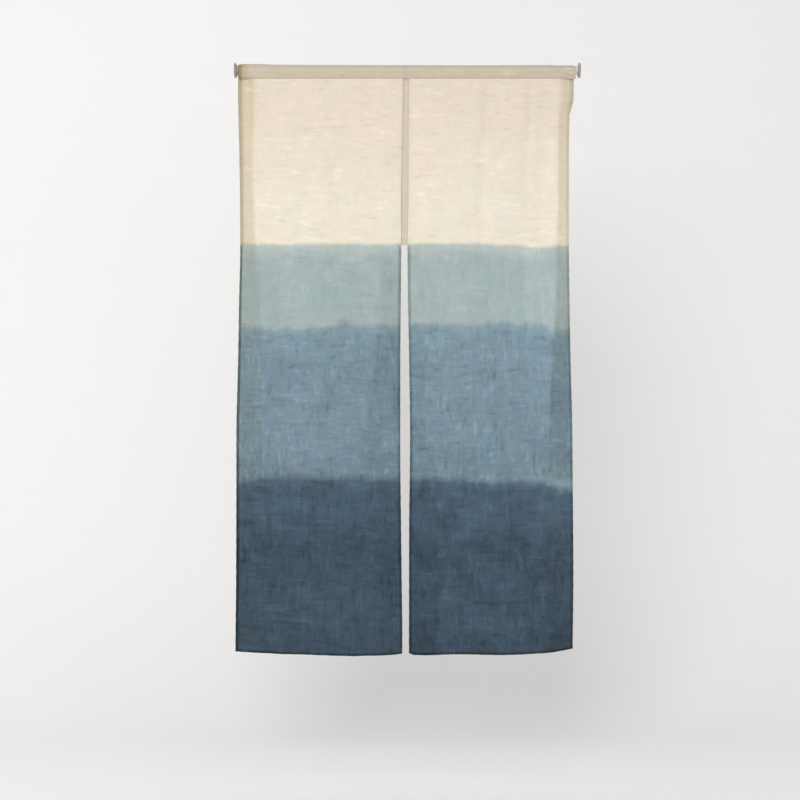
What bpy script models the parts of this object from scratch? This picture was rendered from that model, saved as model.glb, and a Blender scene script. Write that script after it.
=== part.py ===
"""Noren curtain on a tension rod: a casing of doubled cloth, two hanging panels, the strip that joins them
above the slit, and the plain rod with its two end feet. Metres, +Z up, front towards -Y. The origin is the
middle of the left foot's flat face, on the rod's axis."""

import math
from bisect import bisect_right
from collections import namedtuple

import bpy

# The rod, from foot face to foot face, as the doorway holds it
ROD_SPAN = 0.873
ROD_RADIUS = 0.008
ROD_SIDES = 24
FOOT_RADIUS = 0.0185
FOOT_THICKNESS = 0.006
FOOT_NECK_RADIUS = 0.012
FOOT_RIM = 0.0035
MIDDLE = ROD_SPAN / 2

# The cloth
CLOTH = 0.0012
HEM_CLOTH = 2 * CLOTH
SIDE_HEM = 0.009
BOTTOM_HEM = 0.014
HEM_STEP = 0.001
CUT_WIDTH = 0.4175
GAP = 0.0003

# The casing, an eye-shaped tube with a sewn flange along its lower edge
CASING_LEFT = -0.4285
CASING_RIGHT = 0.4260
CASING_DROP = 0.0210
FLANGE = 0.0025
ARC_STEPS = 5

# The strip behind the gap
STRIP_WIDTH = 0.026
STRIP_CLOTH = 0.0016
STRIP_DROP = 0.441
STRIP_CORNER = 0.004
STRIP_ROWS = 12

# How finely a panel is cut into faces
PANEL_ROWS = 26
ROW_CROWDING = 1.4
ZONE_COLUMNS = (1, 2, 9, 2, 1)
EASE = 0.0012

# The casing along its length: crest and tip are its top and bottom edges above and below the rod's axis
CasingSection = namedtuple("CasingSection", "along crest tip")
CASING_SECTIONS = (
    CasingSection(CASING_LEFT, 0.0140, 0.0160),
    CasingSection(-0.4230, 0.0155, CASING_DROP),
    CasingSection(-0.4140, 0.0168, CASING_DROP),
    CasingSection(-0.3800, 0.0166, CASING_DROP),
    CasingSection(-0.3350, 0.0152, CASING_DROP),
    CasingSection(-0.1500, 0.0141, CASING_DROP),
    CasingSection(0.0000, 0.0137, CASING_DROP),
    CasingSection(0.2200, 0.0134, CASING_DROP),
    CasingSection(0.3550, 0.0138, CASING_DROP),
    CasingSection(0.3800, 0.0130, CASING_DROP),
    CasingSection(0.4140, 0.0129, CASING_DROP),
    CasingSection(0.4210, 0.0116, CASING_DROP),
    CasingSection(CASING_RIGHT, 0.0114, CASING_DROP),
)

# A panel down its length. outer and inner are its side edges, from the rod's middle towards its own side,
# margin is the width of the outer side that is creased and turned back, inner_turn is how far the side at
# the slit turns back, in degrees, and inner_margin is the width of that side.
Section = namedtuple("Section", "drop outer inner margin inner_margin inner_turn")
LEFT_SECTIONS = (
    Section(CASING_DROP + GAP, 0.4284, 0.0109, 0.040, 0.050, 0),
    Section(0.0340, 0.4288, 0.0109, 0.040, 0.050, 0),
    Section(0.2010, 0.4274, 0.0139, 0.041, 0.050, 0),
    Section(0.3270, 0.4263, 0.0160, 0.044, 0.050, 0),
    Section(0.4430, 0.4259, 0.0157, 0.050, 0.050, 0),
    Section(0.5550, 0.4282, 0.0166, 0.060, 0.050, 3),
    Section(0.7320, 0.4308, 0.0180, 0.066, 0.066, 9),
    Section(0.9340, 0.4333, 0.0182, 0.066, 0.086, 13),
    Section(1.1620, 0.4331, 0.0160, 0.066, 0.080, 11),
    Section(1.2890, 0.4333, 0.0146, 0.066, 0.070, 7),
    Section(1.4400, 0.4345, 0.0130, 0.060, 0.060, 3),
    Section(1.4800, 0.4348, 0.0134, 0.060, 0.060, 2),
)
RIGHT_SECTIONS = (
    Section(CASING_DROP + GAP, 0.4218, 0.0043, 0.040, 0.050, 0),
    Section(0.0700, 0.4214, 0.0043, 0.040, 0.050, 0),
    Section(0.1120, 0.4136, 0.0038, 0.039, 0.050, 0),
    Section(0.2010, 0.4121, 0.0033, 0.039, 0.050, 0),
    Section(0.3270, 0.4121, 0.0033, 0.039, 0.050, 0),
    Section(0.4430, 0.4117, 0.0010, 0.040, 0.050, 0),
    Section(0.5550, 0.4128, 0.0018, 0.041, 0.040, 2),
    Section(0.7320, 0.4162, 0.0050, 0.055, 0.040, 7),
    Section(0.9340, 0.4202, 0.0072, 0.062, 0.060, 11),
    Section(1.1620, 0.4207, 0.0050, 0.068, 0.076, 10),
    Section(1.2890, 0.4212, 0.0048, 0.068, 0.076, 8),
    Section(1.4800, 0.4201, 0.0046, 0.060, 0.070, 4),
)

# The bottom edge, from the slit (across 0) to the outer side (across 1)
Hem = namedtuple("Hem", "across drop")
LEFT_HEM = (
    Hem(0.00, 1.4746),
    Hem(0.05, 1.4772),
    Hem(0.16, 1.4791),
    Hem(0.37, 1.4787),
    Hem(0.61, 1.4751),
    Hem(0.85, 1.4723),
    Hem(1.00, 1.4690),
)
RIGHT_HEM = (
    Hem(0.00, 1.4735),
    Hem(0.03, 1.4783),
    Hem(0.10, 1.4784),
    Hem(0.25, 1.4761),
    Hem(0.50, 1.4751),
    Hem(0.68, 1.4752),
    Hem(0.80, 1.4733),
    Hem(0.92, 1.4690),
    Hem(1.00, 1.4645),
)

# Soft folds that run down a panel. across is as in the hem, spread is half a fold's width, and top, middle
# and bottom are how far it stands forward there.
Fold = namedtuple("Fold", "across spread top middle bottom")
LEFT_FOLDS = (
    Fold(0.27, 0.030, -0.0010, 0.0020, 0.0050),
    Fold(0.50, 0.045, 0.0010, 0.0045, -0.0020),
    Fold(0.74, 0.035, -0.0010, -0.0020, 0.0055),
)
RIGHT_FOLDS = (
    Fold(0.30, 0.040, 0.0008, 0.0040, -0.0020),
    Fold(0.45, 0.013, -0.0030, -0.0005, 0.0000),
    Fold(0.56, 0.050, 0.0015, -0.0010, 0.0060),
    Fold(0.72, 0.012, -0.0028, -0.0005, 0.0000),
    Fold(0.80, 0.040, 0.0012, 0.0035, -0.0015),
)
FOLD_STARTS = 0.020
FOLD_MIDDLE = 0.75
FOLD_ENDS = 1.45
CROWN = 0.006
CROWN_FULL_AT = 0.45

CREAM = (0.85, 0.75, 0.63)
PALE_BLUE = (0.39, 0.47, 0.48)
MID_BLUE = (0.20, 0.28, 0.34)
NAVY = (0.06, 0.09, 0.13)
DYE_LINES = ((0.0, NAVY), (0.305, MID_BLUE), (0.567, PALE_BLUE), (0.701, CREAM))
HEADING_BEIGE = (0.62, 0.53, 0.41)
STRIP_BEIGE = (0.64, 0.56, 0.46)
ROD_WHITE = (0.80, 0.79, 0.76)
FOOT_GREY = (0.42, 0.40, 0.35)


def clear_scene():
    for old in list(bpy.data.objects):
        bpy.data.objects.remove(old, do_unlink=True)


def smooth(share):
    """0 to 1 with a gentle start and end."""
    share = min(max(share, 0.0), 1.0)
    return share * share * (3 - 2 * share)


def curved(rows, place, column):
    """A table's column at any place along it, on a smooth curve that never overshoots its rows."""
    places = [row[0] for row in rows]
    values = [getattr(row, column) for row in rows]
    place = min(max(place, places[0]), places[-1])
    low = min(bisect_right(places, place), len(rows) - 1) - 1
    rises = [(values[i + 1] - values[i]) / (places[i + 1] - places[i]) for i in range(len(rows) - 1)]

    def slope(i):
        if i == 0 or i == len(rows) - 1:
            return rises[min(i, len(rises) - 1)]
        before, after = rises[i - 1], rises[i]
        if before * after <= 0:
            return 0.0
        return 2 * before * after / (before + after)

    width = places[low + 1] - places[low]
    t = (place - places[low]) / width
    return (
        (2 * t**3 - 3 * t**2 + 1) * values[low]
        + (t**3 - 2 * t**2 + t) * width * slope(low)
        + (3 * t**2 - 2 * t**3) * values[low + 1]
        + (t**3 - t**2) * width * slope(low + 1)
    )


def plain_material(name, colour, roughness, metallic=0.0):
    material = bpy.data.materials.new(name)
    material.use_nodes = True
    shader = material.node_tree.nodes["Principled BSDF"]
    shader.inputs["Base Color"].default_value = (*colour, 1.0)
    shader.inputs["Roughness"].default_value = roughness
    shader.inputs["Metallic"].default_value = metallic
    return material


def dyed_material(name):
    """Undyed cloth that was dipped three times, deeper in the dye towards its lower edge."""
    material = plain_material(name, CREAM, 0.9)
    nodes, links = material.node_tree.nodes, material.node_tree.links
    place = nodes.new("ShaderNodeTexCoord")
    height = nodes.new("ShaderNodeSeparateXYZ")
    share = nodes.new("ShaderNodeMapRange")
    share.inputs["From Min"].default_value = -LEFT_SECTIONS[-1].drop
    share.inputs["From Max"].default_value = 0.0
    bands = nodes.new("ShaderNodeValToRGB")
    bands.color_ramp.interpolation = "CONSTANT"
    bands.color_ramp.elements.remove(bands.color_ramp.elements[1])
    bands.color_ramp.elements[0].color = (*DYE_LINES[0][1], 1.0)
    for line, colour in DYE_LINES[1:]:
        bands.color_ramp.elements.new(line).color = (*colour, 1.0)
    links.new(place.outputs["Object"], height.inputs["Vector"])
    links.new(height.outputs["Z"], share.inputs["Value"])
    links.new(share.outputs["Result"], bands.inputs["Fac"])
    links.new(bands.outputs["Color"], nodes["Principled BSDF"].inputs["Base Color"])
    return material


def add_object(name, points, faces, material):
    mesh = bpy.data.meshes.new(name)
    mesh.from_pydata(points, [], faces)
    mesh.materials.append(material)
    mesh.validate()
    mesh.shade_smooth()
    mesh.set_sharp_from_angle(angle=math.radians(35))
    made = bpy.data.objects.new(name, mesh)
    bpy.context.collection.objects.link(made)
    return made


def cross(a, b):
    return (a[1] * b[2] - a[2] * b[1], a[2] * b[0] - a[0] * b[2], a[0] * b[1] - a[1] * b[0])


def unit(v):
    size = math.sqrt(sum(part * part for part in v))
    return tuple(part / size for part in v)


def sheet_solid(name, front, thickness, material):
    """A closed sheet of cloth. front holds rows of points from top to bottom, each row running from the left
    edge to the right as seen from the front, and thickness gives each point's depth of cloth behind it. The
    first and last rows keep their height through the cloth."""
    rows, columns = len(front), len(front[0])
    back = []
    for r in range(rows):
        for c in range(columns):
            above, below = front[max(r - 1, 0)][c], front[min(r + 1, rows - 1)][c]
            left, right = front[r][max(c - 1, 0)], front[r][min(c + 1, columns - 1)]
            down = [b - a for a, b in zip(above, below)]
            along = [b - a for a, b in zip(left, right)]
            behind = cross(along, down)
            if r in (0, rows - 1):
                behind = (behind[0], behind[1], 0.0)
            behind = unit(behind)
            back.append(tuple(p + n * thickness[r][c] for p, n in zip(front[r][c], behind)))
    points = [point for row in front for point in row] + back
    far = rows * columns

    def at(r, c):
        return r * columns + c

    faces = []
    for r in range(rows - 1):
        for c in range(columns - 1):
            corners = (at(r, c), at(r + 1, c), at(r + 1, c + 1), at(r, c + 1))
            faces.append(corners)
            faces.append(tuple(far + corner for corner in reversed(corners)))
    rim = [at(0, c) for c in range(columns)]
    rim += [at(r, columns - 1) for r in range(1, rows)]
    rim += [at(rows - 1, c) for c in range(columns - 2, -1, -1)]
    rim += [at(r, 0) for r in range(rows - 2, 0, -1)]
    for first, second in zip(rim, rim[1:] + rim[:1]):
        faces.append((first, second, far + second, far + first))
    return add_object(name, points, faces, material)


def eye_profile(radius, crest, flange_top, flange_half, tip):
    """The casing's cut edge on one side, top to bottom: a tangent from the crest onto a circle round the rod,
    the arc, and a tangent down to the flange. Points are (y, z) for the back half."""
    top_angle = math.acos(radius / crest)
    reach = math.hypot(flange_half, flange_top)
    low_angle = math.pi - math.acos(radius / reach) - math.atan2(flange_half, flange_top)
    profile = [(0.0, crest)]
    for i in range(ARC_STEPS + 1):
        angle = top_angle + (low_angle - top_angle) * i / ARC_STEPS
        profile.append((radius * math.sin(angle), radius * math.cos(angle)))
    profile.append((flange_half, -flange_top))
    if tip > flange_top:
        profile.append((flange_half, -tip))
    return profile


def whole_profile(half):
    """The back half of a profile with its mirror image, as one closed loop."""
    front = [(-y, z) for y, z in reversed(half) if y > 0]
    return half + front


def make_heading(material):
    """The casing: outer and inner loops at every section, joined into a tube that is open at both ends."""
    outer_loops, inner_loops = [], []
    for section in CASING_SECTIONS:
        flange_top = section.tip - FLANGE
        outer = eye_profile(ROD_RADIUS + GAP + CLOTH, section.crest, flange_top, CLOTH, section.tip)
        inner_tip = flange_top - CLOTH
        inner = eye_profile(ROD_RADIUS + GAP, section.crest - 1.3 * CLOTH, inner_tip, 0.2 * CLOTH, inner_tip)
        x = MIDDLE + section.along
        outer_loops.append([(x, y, z) for y, z in whole_profile(outer)])
        inner_loops.append([(x, y, z) for y, z in whole_profile(inner)])
    return add_object("heading", *tube_between(outer_loops, inner_loops), material)


def tube_between(outer_loops, inner_loops):
    """Points and faces of a tube with a wall, open at both ends. Each end is closed by a ring of faces that
    pairs the outer loop's points with the inner loop's."""
    points = [point for loop in outer_loops + inner_loops for point in loop]
    outer_size, inner_size = len(outer_loops[0]), len(inner_loops[0])
    inner_start = outer_size * len(outer_loops)
    faces = []
    for section in range(len(outer_loops) - 1):
        for i in range(outer_size):
            j = (i + 1) % outer_size
            a, b = section * outer_size + i, section * outer_size + j
            faces.append((a, a + outer_size, b + outer_size, b))
        for i in range(inner_size):
            j = (i + 1) % inner_size
            a, b = inner_start + section * inner_size + i, inner_start + section * inner_size + j
            faces.append((a, b, b + inner_size, a + inner_size))
    last = len(outer_loops) - 1
    for outer_base, inner_base, flip in (
        (0, inner_start, True),
        (last * outer_size, inner_start + last * inner_size, False),
    ):
        for face in end_ring(outer_size, inner_size):
            real = tuple(outer_base + i if kind == "outer" else inner_base + i for kind, i in face)
            faces.append(tuple(reversed(real)) if flip else real)
    return points, faces


def end_ring(outer_size, inner_size):
    """Faces between an outer and an inner loop that run alike, but for the flange's two extra outer points."""
    flange_at = ARC_STEPS + 2
    extra = outer_size - inner_size
    pairs = [(i, i) for i in range(flange_at + 1)]
    pairs += [(i + extra, i) for i in range(flange_at + 1, inner_size)]
    ring = []
    for (outer_a, inner_a), (outer_b, inner_b) in zip(pairs, pairs[1:] + pairs[:1]):
        between = [outer_a]
        while between[-1] != outer_b:
            between.append((between[-1] + 1) % outer_size)
        face = [("inner", inner_a), ("inner", inner_b)]
        face += [("outer", i) for i in reversed(between)]
        ring.append(face)
    return ring


def column_places(section_margin, section_inner_margin):
    """Places across the cut cloth from the slit's edge to the outer edge, with a column at each hem's edge and
    at each crease."""
    knots = (
        0.0,
        SIDE_HEM,
        section_inner_margin,
        CUT_WIDTH - section_margin,
        CUT_WIDTH - SIDE_HEM,
        CUT_WIDTH,
    )
    places = [0.0]
    for zone, count in enumerate(ZONE_COLUMNS):
        start, end = knots[zone], knots[zone + 1]
        if zone == 1:
            start += HEM_STEP
            places.append(start)
        if zone == 3:
            end -= HEM_STEP
        places += [start + (end - start) * (i + 1) / count for i in range(count)]
        if zone == 3:
            places.append(knots[4])
    return places


def fold_height(fold, drop):
    """How far one fold stands forward at a drop, easing from its top to its middle and on to its bottom."""
    if drop < FOLD_MIDDLE:
        share = smooth((drop - FOLD_STARTS) / (FOLD_MIDDLE - FOLD_STARTS))
        return fold.top + share * (fold.middle - fold.top)
    share = smooth((drop - FOLD_MIDDLE) / (FOLD_ENDS - FOLD_MIDDLE))
    return fold.middle + share * (fold.bottom - fold.middle)


def panel_row(side, sections, folds, drop):
    """One row of a panel's front face, as (distance across the cut cloth, x, y) from the slit outwards. What the
    outline lacks of the cut width is taken up by the outer margin, which turns back by just so much."""
    outer, inner = curved(sections, drop, "outer"), curved(sections, drop, "inner")
    margin, inner_margin = curved(sections, drop, "margin"), curved(sections, drop, "inner_margin")
    inner_turn = math.radians(curved(sections, drop, "inner_turn"))
    shortage = CUT_WIDTH - (outer - inner) - inner_margin * (1 - math.cos(inner_turn))
    eased = (shortage + math.hypot(shortage, EASE)) / 2
    turn = math.acos(1 - eased / margin)
    start = inner + inner_margin * math.cos(inner_turn)
    end = outer - margin * math.cos(turn)
    crown = CROWN * smooth((drop - sections[0].drop) / CROWN_FULL_AT)
    fold_share = smooth((drop - sections[0].drop) / 0.08)
    row = []
    for place in column_places(margin, inner_margin):
        if place < inner_margin:
            past = inner_margin - place
            offset, depth = start - past * math.cos(inner_turn), past * math.sin(inner_turn)
        elif place > CUT_WIDTH - margin:
            past = place - (CUT_WIDTH - margin)
            offset, depth = end + past * math.cos(turn), past * math.sin(turn)
        else:
            share = (place - inner_margin) / (CUT_WIDTH - margin - inner_margin)
            offset = start + share * (end - start)
            depth = -crown * math.sin(math.pi * share) ** 2
            for fold in folds:
                away = (place - fold.across * CUT_WIDTH) / fold.spread
                fade = smooth(4 * share) * smooth(4 * (1 - share))
                depth -= fold_share * fade * fold_height(fold, drop) * math.exp(-away * away)
        row.append((place, MIDDLE + side * offset, depth))
    return row


def make_panel(name, side, sections, hem, folds, material):
    """One panel: rows crowd towards the heading, where the sides turn back most quickly, and the last three
    rows make the bottom hem."""
    top = sections[0].drop
    body_rows = [((i / PANEL_ROWS) ** ROW_CROWDING, 0.0) for i in range(PANEL_ROWS + 1)]
    front, thickness = [], []
    for share, below in body_rows + [(1.0, HEM_STEP), (1.0, HEM_STEP + BOTTOM_HEM)]:
        nominal = top + share * (sections[-1].drop - BOTTOM_HEM - HEM_STEP - top) + below
        row, cloth = [], []
        for place, x, y in panel_row(side, sections, folds, nominal):
            edge = curved(hem, place / CUT_WIDTH, "drop")
            drop = top + share * (edge - BOTTOM_HEM - HEM_STEP - top) + below
            row.append((x, y, -drop))
            hemmed = place <= SIDE_HEM or place >= CUT_WIDTH - SIDE_HEM or below > 0
            cloth.append(HEM_CLOTH if hemmed else CLOTH)
        front.append(row if side > 0 else row[::-1])
        thickness.append(cloth if side > 0 else cloth[::-1])
    return sheet_solid(name, front, thickness, material)


def make_joining_strip(material):
    """The strip lies just behind the panels' inner hems, from the heading's flange to the top of the slit."""
    top = CASING_DROP - FLANGE / 2
    y = HEM_CLOTH + GAP
    front = []
    for i in range(STRIP_ROWS + 1):
        drop = top + (STRIP_DROP - top) * i / STRIP_ROWS
        left_edge = curved(LEFT_SECTIONS, drop, "inner")
        right_edge = curved(RIGHT_SECTIONS, drop, "inner")
        centre = MIDDLE + (right_edge - left_edge) / 2
        half = STRIP_WIDTH / 2
        if i == STRIP_ROWS:
            half -= STRIP_CORNER
        front.append([(centre - half, y, -drop), (centre, y, -drop), (centre + half, y, -drop)])
    last = front[-1]
    corner = [(x, y, z + STRIP_CORNER) for x, y, z in last]
    corner[0] = (last[0][0] - STRIP_CORNER, y, corner[0][2])
    corner[2] = (last[2][0] + STRIP_CORNER, y, corner[2][2])
    front.insert(-1, corner)
    thickness = [[STRIP_CLOTH] * 3 for _ in front]
    return sheet_solid("joining_strip", front, thickness, material)


def turned_solid(name, profile, material):
    """A solid of revolution about the rod's axis. profile is (x, radius) from one end of the axis to the
    other, with radius 0 at both."""
    points, rings = [], []
    for x, radius in profile:
        if radius == 0:
            rings.append([len(points)])
            points.append((x, 0.0, 0.0))
            continue
        ring = []
        for i in range(ROD_SIDES):
            angle = 2 * math.pi * i / ROD_SIDES
            ring.append(len(points))
            points.append((x, radius * math.cos(angle), radius * math.sin(angle)))
        rings.append(ring)
    faces = []
    for first, second in zip(rings, rings[1:]):
        for i in range(ROD_SIDES):
            j = (i + 1) % ROD_SIDES
            if len(first) == 1:
                faces.append((first[0], second[j], second[i]))
            elif len(second) == 1:
                faces.append((first[i], first[j], second[0]))
            else:
                faces.append((first[i], first[j], second[j], second[i]))
    return add_object(name, points, faces, material)


def make_rod(material):
    start, end = FOOT_THICKNESS + GAP, ROD_SPAN - FOOT_THICKNESS - GAP
    profile = ((start, 0.0), (start, ROD_RADIUS), (end, ROD_RADIUS), (end, 0.0))
    return turned_solid("rod", profile, material)


def make_foot(name, face, inward, material):
    """A pad whose flat face is at x = face, with a rim and a cone down to the rod. inward is +1 or -1."""
    profile = [
        (face, 0.0),
        (face, FOOT_RADIUS),
        (face + inward * FOOT_RIM, FOOT_RADIUS),
        (face + inward * FOOT_THICKNESS, FOOT_NECK_RADIUS),
        (face + inward * FOOT_THICKNESS, 0.0),
    ]
    return turned_solid(name, profile if inward > 0 else profile[::-1], material)


clear_scene()
make_heading(plain_material("heading_cloth", HEADING_BEIGE, 0.9))
make_panel("panel_left", -1, LEFT_SECTIONS, LEFT_HEM, LEFT_FOLDS, dyed_material("panel_left_cloth"))
make_panel("panel_right", 1, RIGHT_SECTIONS, RIGHT_HEM, RIGHT_FOLDS, dyed_material("panel_right_cloth"))
make_joining_strip(plain_material("strip_cloth", STRIP_BEIGE, 0.9))
make_rod(plain_material("rod_enamel", ROD_WHITE, 0.4))
make_foot("foot_left", 0.0, 1, plain_material("foot_left_rubber", FOOT_GREY, 0.7))
make_foot("foot_right", ROD_SPAN, -1, plain_material("foot_right_rubber", FOOT_GREY, 0.7))
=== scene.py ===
import math
from collections import namedtuple

import bpy
import numpy as np
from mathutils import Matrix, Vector


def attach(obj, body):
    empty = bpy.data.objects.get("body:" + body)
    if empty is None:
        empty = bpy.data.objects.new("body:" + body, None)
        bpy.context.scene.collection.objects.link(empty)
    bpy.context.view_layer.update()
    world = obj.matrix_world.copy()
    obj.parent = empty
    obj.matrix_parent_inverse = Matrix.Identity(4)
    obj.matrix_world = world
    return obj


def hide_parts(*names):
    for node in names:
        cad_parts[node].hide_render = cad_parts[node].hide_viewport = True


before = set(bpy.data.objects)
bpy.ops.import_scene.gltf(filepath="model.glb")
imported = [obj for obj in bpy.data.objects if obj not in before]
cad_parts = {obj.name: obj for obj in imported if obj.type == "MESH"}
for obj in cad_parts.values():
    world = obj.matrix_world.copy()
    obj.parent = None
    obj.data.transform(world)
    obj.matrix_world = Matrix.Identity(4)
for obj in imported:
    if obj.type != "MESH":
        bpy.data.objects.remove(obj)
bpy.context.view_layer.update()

# The studio. A pale floor sweeps up into a wall well behind the curtain. Soft lamps stand in front of it and
# at both sides, and the camera faces it squarely, level with the middle of the cloth.
FLOOR_HEIGHT = -1.80
WALL_DEPTH = 1.10
SWEEP_RADIUS = 0.70
SWEEP_STEPS = 24
STUDIO_FRONT = -6.0
STUDIO_TOP = 2.6
STUDIO_HALF_WIDTH = 5.0
STUDIO_MIDDLE = (0.4365, 0.0, -0.75)
PALE_WALL = (0.91, 0.895, 0.87, 1.0)
ROOM_LIGHT = (0.93, 0.95, 1.0, 1.0)
ROOM_STRENGTH = 0.58
CAMERA_PLACE = (0.4180, -3.0, -0.8331)
CAMERA_LENS = 53.4
CAMERA_SENSOR = 36.0


def table(columns, *rows):
    """Rows of values under named columns."""
    Row = namedtuple("Row", columns)
    return [Row(*row) for row in rows]


LAMPS = table(
    "name place size watts",
    ("front_lamp", (-0.5, -3.6, 1.1), 2.4, 66.0),
    ("left_lamp", (-2.6, -1.6, -0.4), 1.8, 23.5),
    ("right_lamp", (3.4, -2.2, -0.3), 1.8, 19.0),
)


def placed(name, data):
    """An object of some data, in the scene."""
    thing = bpy.data.objects.new(name, data)
    bpy.context.scene.collection.objects.link(thing)
    return thing


def shaped(name, points, faces):
    """A smooth-shaded piece of points and faces."""
    mesh = bpy.data.meshes.new(name)
    mesh.from_pydata(points, [], faces)
    mesh.shade_smooth()
    return placed(name, mesh)


def new_material(name):
    """A material, its nodes and its main shader."""
    material = bpy.data.materials.new(name)
    material.use_nodes = True
    return material, material.node_tree, material.node_tree.nodes["Principled BSDF"]


def put(tree, socket, value):
    """Joins a socket to another node's output, or sets it to a plain value."""
    value = getattr(value, "output", value)
    if isinstance(value, bpy.types.NodeSocket):
        tree.links.new(value, socket)
    else:
        socket.default_value = value


def show_mixed(tree, share, first, second):
    """Puts two shaders, mixed by a share, on the surface."""
    mix = tree.nodes.new("ShaderNodeMixShader")
    for socket, value in zip(mix.inputs, (share, first.outputs[0], second.outputs[0])):
        put(tree, socket, value)
    put(tree, tree.nodes["Material Output"].inputs["Surface"], mix.outputs[0])


def make_sweep():
    profile = [(STUDIO_FRONT, FLOOR_HEIGHT)]
    for step in range(SWEEP_STEPS + 1):
        angle = math.pi / 2 * step / SWEEP_STEPS
        y = WALL_DEPTH - SWEEP_RADIUS + SWEEP_RADIUS * math.sin(angle)
        z = FLOOR_HEIGHT + SWEEP_RADIUS - SWEEP_RADIUS * math.cos(angle)
        profile.append((y, z))
    profile.append((WALL_DEPTH, STUDIO_TOP))
    left, right = STUDIO_MIDDLE[0] - STUDIO_HALF_WIDTH, STUDIO_MIDDLE[0] + STUDIO_HALF_WIDTH
    points = [(left, y, z) for y, z in profile] + [(right, y, z) for y, z in profile]
    count = len(profile)
    faces = [(i, i + count, i + count + 1, i + 1) for i in range(count - 1)]
    return shaped("studio_sweep", points, faces)


def paint_sweep(sweep):
    """Matte paper in front. Seen from behind it is clear, so that it hides nothing in views from the back."""
    material, tree, paper = new_material("studio_paper")
    paper.inputs["Base Color"].default_value = PALE_WALL
    paper.inputs["Roughness"].default_value = 0.95
    paper.inputs["Specular IOR Level"].default_value = 0.1
    clear = tree.nodes.new("ShaderNodeBsdfTransparent")
    behind = tree.nodes.new("ShaderNodeNewGeometry").outputs["Backfacing"]
    show_mixed(tree, behind, paper, clear)
    sweep.data.materials.append(material)


def aim(thing, place, target):
    thing.location = place
    thing.rotation_euler = (Vector(target) - Vector(place)).to_track_quat("-Z", "Y").to_euler()


studio_sweep = make_sweep()
paint_sweep(studio_sweep)

for lamp in LAMPS:
    light = bpy.data.lights.new(lamp.name, "AREA")
    light.shape = "SQUARE"
    light.size = lamp.size
    light.energy = lamp.watts
    aim(placed(lamp.name, light), lamp.place, STUDIO_MIDDLE)

room = bpy.data.worlds.new("pale_room")
room.use_nodes = True
room.node_tree.nodes["Background"].inputs["Color"].default_value = ROOM_LIGHT
room.node_tree.nodes["Background"].inputs["Strength"].default_value = ROOM_STRENGTH
bpy.context.scene.world = room
bpy.context.scene.view_settings.view_transform = "Standard"

camera_data = bpy.data.cameras.new("camera")
camera_data.lens = CAMERA_LENS
camera_data.sensor_width = CAMERA_SENSOR
camera = placed("camera", camera_data)
camera.location = CAMERA_PLACE
camera.rotation_euler = (math.radians(90), 0.0, 0.0)
bpy.context.scene.camera = camera

# The two hanging panels. Each is one width of slub linen with narrow hems turned to the back along its sides
# and a deeper one along its foot, dipped three times in dye, each time less deep. The outer sides keep the
# crease that they were folded on and turn back from it, and so does the side at the slit, less.
ROD_SPAN = 0.873
MIDDLE = ROD_SPAN / 2
CASING_DROP = 0.0210
GAP = 0.0003
CUT_WIDTH = 0.4175
SIDE_HEM = 0.009
BOTTOM_HEM = 0.014
HEM_STEP = 0.001
SEAM_INSET = 0.0078
BOTTOM_SEAM_INSET = 0.0125
PANEL_CLOTH = 0.0007
PANEL_HEM_CLOTH = 0.0015
PANEL_TUCK = 0.0042
EASE = 0.0012
CREASE_SOFTNESS = 0.0024
FOLD_STARTS = 0.020
FOLD_FREE = 0.08
FOLD_MIDDLE = 0.75
FOLD_ENDS = 1.45
CROWN = 0.006
CROWN_FULL_AT = 0.45

SECTION = "drop outer inner margin inner_margin inner_turn"
LEFT_SECTIONS = table(
    SECTION,
    (CASING_DROP + GAP, 0.4284, 0.0109, 0.040, 0.050, 0),
    (0.0340, 0.4288, 0.0109, 0.040, 0.050, 0),
    (0.2010, 0.4274, 0.0139, 0.041, 0.050, 0),
    (0.3270, 0.4263, 0.0160, 0.044, 0.050, 0),
    (0.4430, 0.4259, 0.0157, 0.050, 0.050, 0),
    (0.5550, 0.4282, 0.0166, 0.060, 0.050, 3),
    (0.7320, 0.4308, 0.0180, 0.066, 0.066, 9),
    (0.9340, 0.4333, 0.0182, 0.066, 0.086, 13),
    (1.1620, 0.4331, 0.0160, 0.066, 0.080, 11),
    (1.2890, 0.4333, 0.0146, 0.066, 0.070, 7),
    (1.4400, 0.4345, 0.0130, 0.060, 0.060, 3),
    (1.4800, 0.4348, 0.0134, 0.060, 0.060, 2),
)
RIGHT_SECTIONS = table(
    SECTION,
    (CASING_DROP + GAP, 0.4218, 0.0043, 0.040, 0.050, 0),
    (0.0700, 0.4214, 0.0043, 0.040, 0.050, 0),
    (0.1120, 0.4136, 0.0038, 0.039, 0.050, 0),
    (0.2010, 0.4121, 0.0033, 0.039, 0.050, 0),
    (0.3270, 0.4121, 0.0033, 0.039, 0.050, 0),
    (0.4430, 0.4117, 0.0010, 0.040, 0.050, 0),
    (0.5550, 0.4128, 0.0018, 0.041, 0.040, 2),
    (0.7320, 0.4162, 0.0050, 0.055, 0.040, 7),
    (0.9340, 0.4202, 0.0072, 0.062, 0.060, 11),
    (1.1620, 0.4207, 0.0050, 0.068, 0.076, 10),
    (1.2890, 0.4212, 0.0048, 0.068, 0.076, 8),
    (1.4800, 0.4201, 0.0046, 0.060, 0.070, 4),
)

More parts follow.
